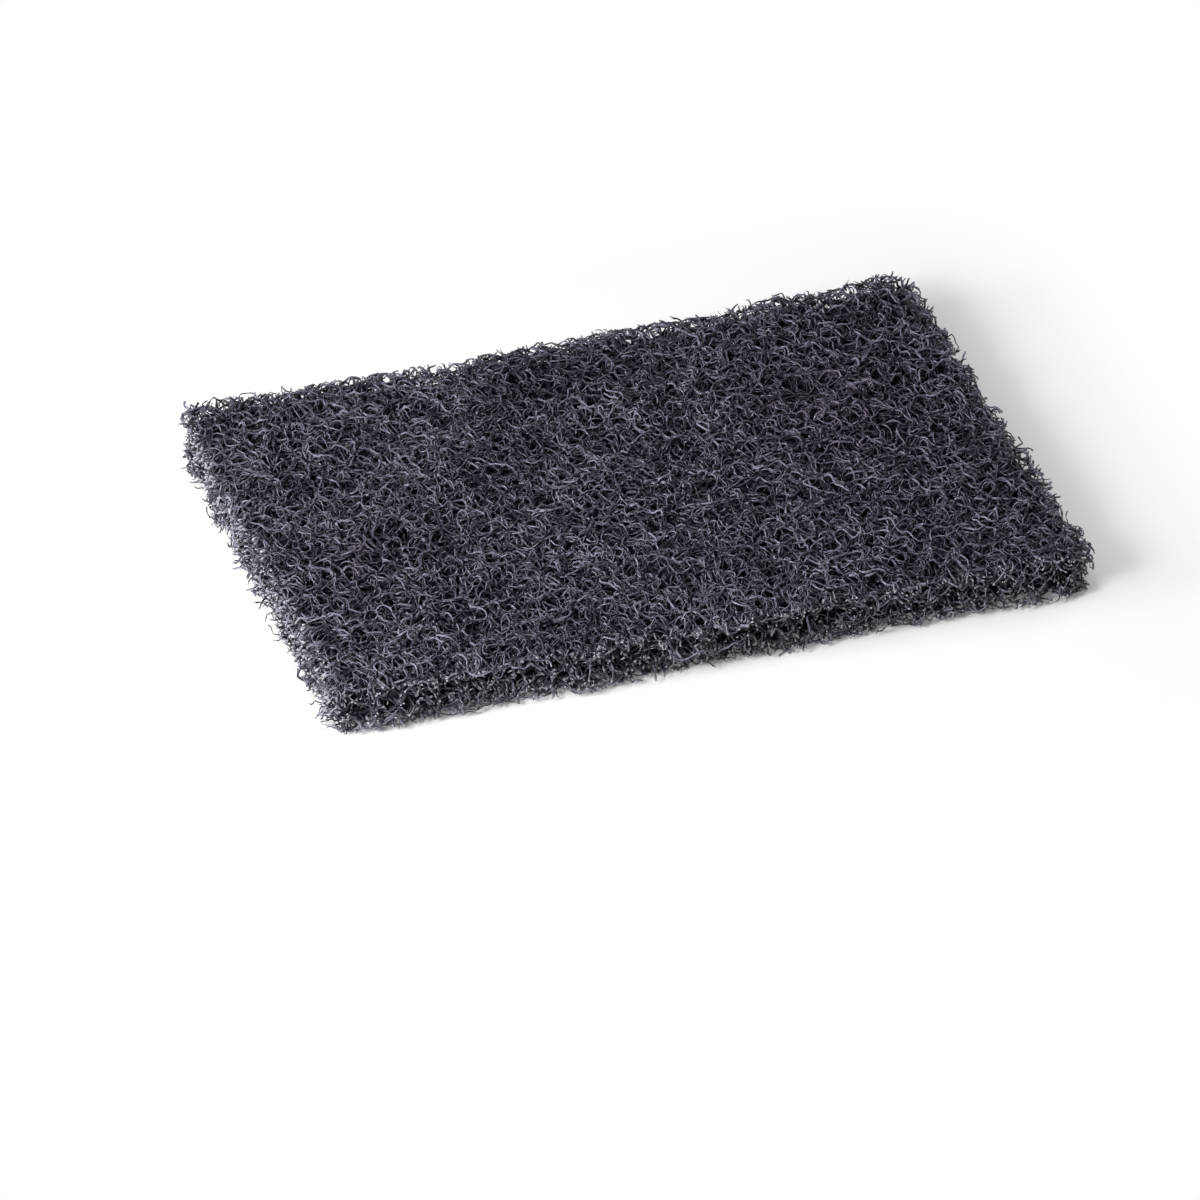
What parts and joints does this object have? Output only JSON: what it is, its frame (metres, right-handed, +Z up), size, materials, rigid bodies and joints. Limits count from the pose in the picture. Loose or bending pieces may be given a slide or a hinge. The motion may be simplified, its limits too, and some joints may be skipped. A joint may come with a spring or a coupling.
{
  "type": "scouring pad",
  "caption": "Rectangular heavy-duty scouring pad, a thick springy web of coarse dark abrasive fibres with open pores and ragged cut edges, held in the hand to scrub pans.",
  "frame": {"origin": "centre of the pad's outline, on the surface that its underside rests on", "axes": "+X along the length, +Y along the width, +Z up through the thickness"},
  "size_m": [0.1519, 0.0939, 0.012],
  "materials": {
    "fibre": "bluish charcoal crimped fibres coated with resin and fine abrasive grain, matte with small highlights"
  },
  "bodies": {
    "root": {"scouring_pad": "fibre"}
  },
  "joints": []
}
